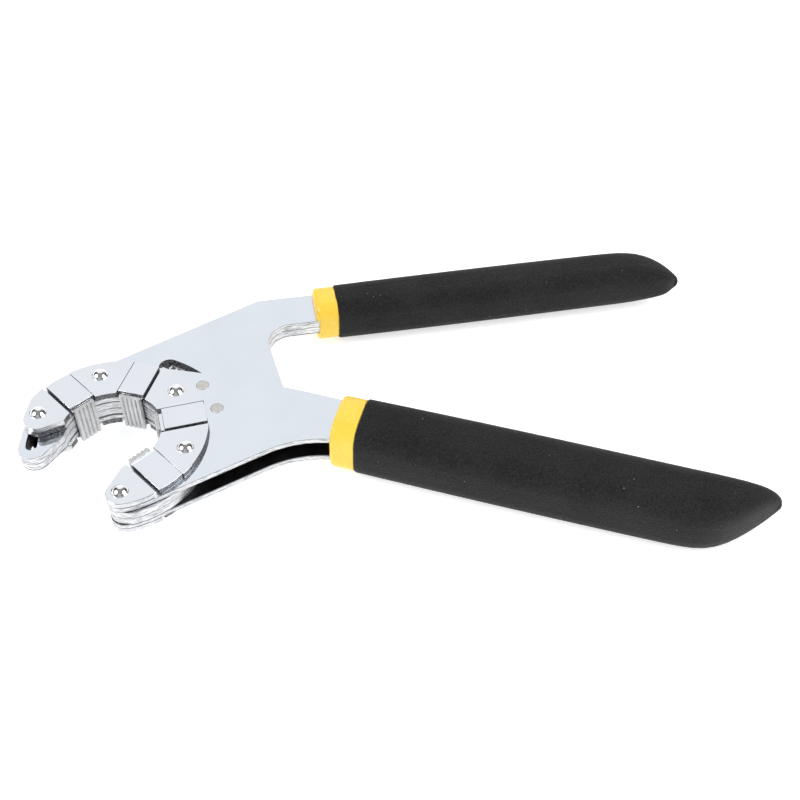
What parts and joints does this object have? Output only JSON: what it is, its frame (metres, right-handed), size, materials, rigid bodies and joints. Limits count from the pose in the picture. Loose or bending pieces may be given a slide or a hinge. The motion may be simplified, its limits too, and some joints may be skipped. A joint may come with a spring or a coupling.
{
  "type": "self-adjusting hex gripping pliers",
  "caption": "Open-ended self-adjusting pliers: sliding serrated jaws in a C-shaped riveted head grip hex nuts as two foam-covered handles close.",
  "frame": {"origin": "centre of the hexagonal jaw opening, midway through the plate stack, on the handles' pivot axis", "axes": "+Z along the pivot axis, out of the top outer plate; +X from the head towards the grips; the near handle lies on the -Y side and the far handle on the +Y side"},
  "size_m": [0.1888, 0.1017, 0.0172],
  "materials": {
    "plate_chrome": "polished",
    "guide_chrome": "polished",
    "rivet_chrome": "polished",
    "pin_steel": "satin",
    "jaw_steel": "matte",
    "spring_steel": "satin",
    "collar_plastic": "gloss",
    "foam": "matte foam"
  },
  "bodies": {
    "near_handle": {"outer_plate_top": "plate_chrome", "outer_plate_bottom": "plate_chrome", "guide_top_1": "guide_chrome", "guide_top_2": "guide_chrome", "guide_top_3": "guide_chrome", "guide_top_4": "guide_chrome", "guide_top_5": "guide_chrome", "guide_bottom_1": "guide_chrome", "guide_bottom_2": "guide_chrome", "guide_bottom_3": "guide_chrome", "guide_bottom_4": "guide_chrome", "guide_bottom_5": "guide_chrome", "rivet_1": "rivet_chrome", "rivet_2": "rivet_chrome", "rivet_3": "rivet_chrome", "rivet_4": "rivet_chrome", "rivet_5": "rivet_chrome", "spacer_pins": "pin_steel", "near_tang_spacer": "pin_steel", "near_tang_rivets": "pin_steel", "near_collar": "collar_plastic", "near_grip": "foam", "return_spring": "spring_steel"},
    "far_handle": {"inner_plate_top": "plate_chrome", "inner_plate_bottom": "plate_chrome", "far_tang_rivets": "pin_steel", "far_collar": "collar_plastic", "far_grip": "foam"},
    "jaw_1": {"jaw_pad_1": "jaw_steel", "jaw_slide_top_1": "guide_chrome", "jaw_slide_bottom_1": "guide_chrome", "cam_pin_1": "pin_steel"},
    "jaw_2": {"jaw_pad_2": "jaw_steel", "jaw_slide_top_2": "guide_chrome", "jaw_slide_bottom_2": "guide_chrome", "cam_pin_2": "pin_steel"},
    "jaw_3": {"jaw_pad_3": "jaw_steel", "jaw_slide_top_3": "guide_chrome", "jaw_slide_bottom_3": "guide_chrome", "cam_pin_3": "pin_steel"},
    "jaw_4": {"jaw_pad_4": "jaw_steel", "jaw_slide_top_4": "guide_chrome", "jaw_slide_bottom_4": "guide_chrome", "cam_pin_4": "pin_steel"}
  },
  "joints": [
    {"name": "handle_hinge", "type": "hinge", "parent": "near_handle", "child": "far_handle", "pos_m": [0, 0, 0], "axis": [0, 0, -1], "range_deg": [0, 20], "stiffness_Nm_per_rad": 0.2, "springref_deg": -20.05, "deforming": ["return_spring"]},
    {"name": "jaw_slide_1", "type": "slide", "parent": "near_handle", "child": "jaw_1", "axis": [0.6088, -0.7934, 0], "range_m": [0, 0.0048]},
    {"name": "jaw_slide_2", "type": "slide", "parent": "near_handle", "child": "jaw_2", "axis": [-0.3827, -0.9239, 0], "range_m": [0, 0.0048]},
    {"name": "jaw_slide_3", "type": "slide", "parent": "near_handle", "child": "jaw_3", "axis": [-0.9914, -0.1305, 0], "range_m": [0, 0.0048]},
    {"name": "jaw_slide_4", "type": "slide", "parent": "near_handle", "child": "jaw_4", "axis": [-0.6088, 0.7934, 0], "range_m": [0, 0.0048]}
  ],
  "couplings": [
    {"joint": "jaw_slide_1", "follows": "handle_hinge", "m_per_rad": 0.01375},
    {"joint": "jaw_slide_2", "follows": "handle_hinge", "m_per_rad": 0.01375},
    {"joint": "jaw_slide_3", "follows": "handle_hinge", "m_per_rad": 0.01375},
    {"joint": "jaw_slide_4", "follows": "handle_hinge", "m_per_rad": 0.01375}
  ]
}
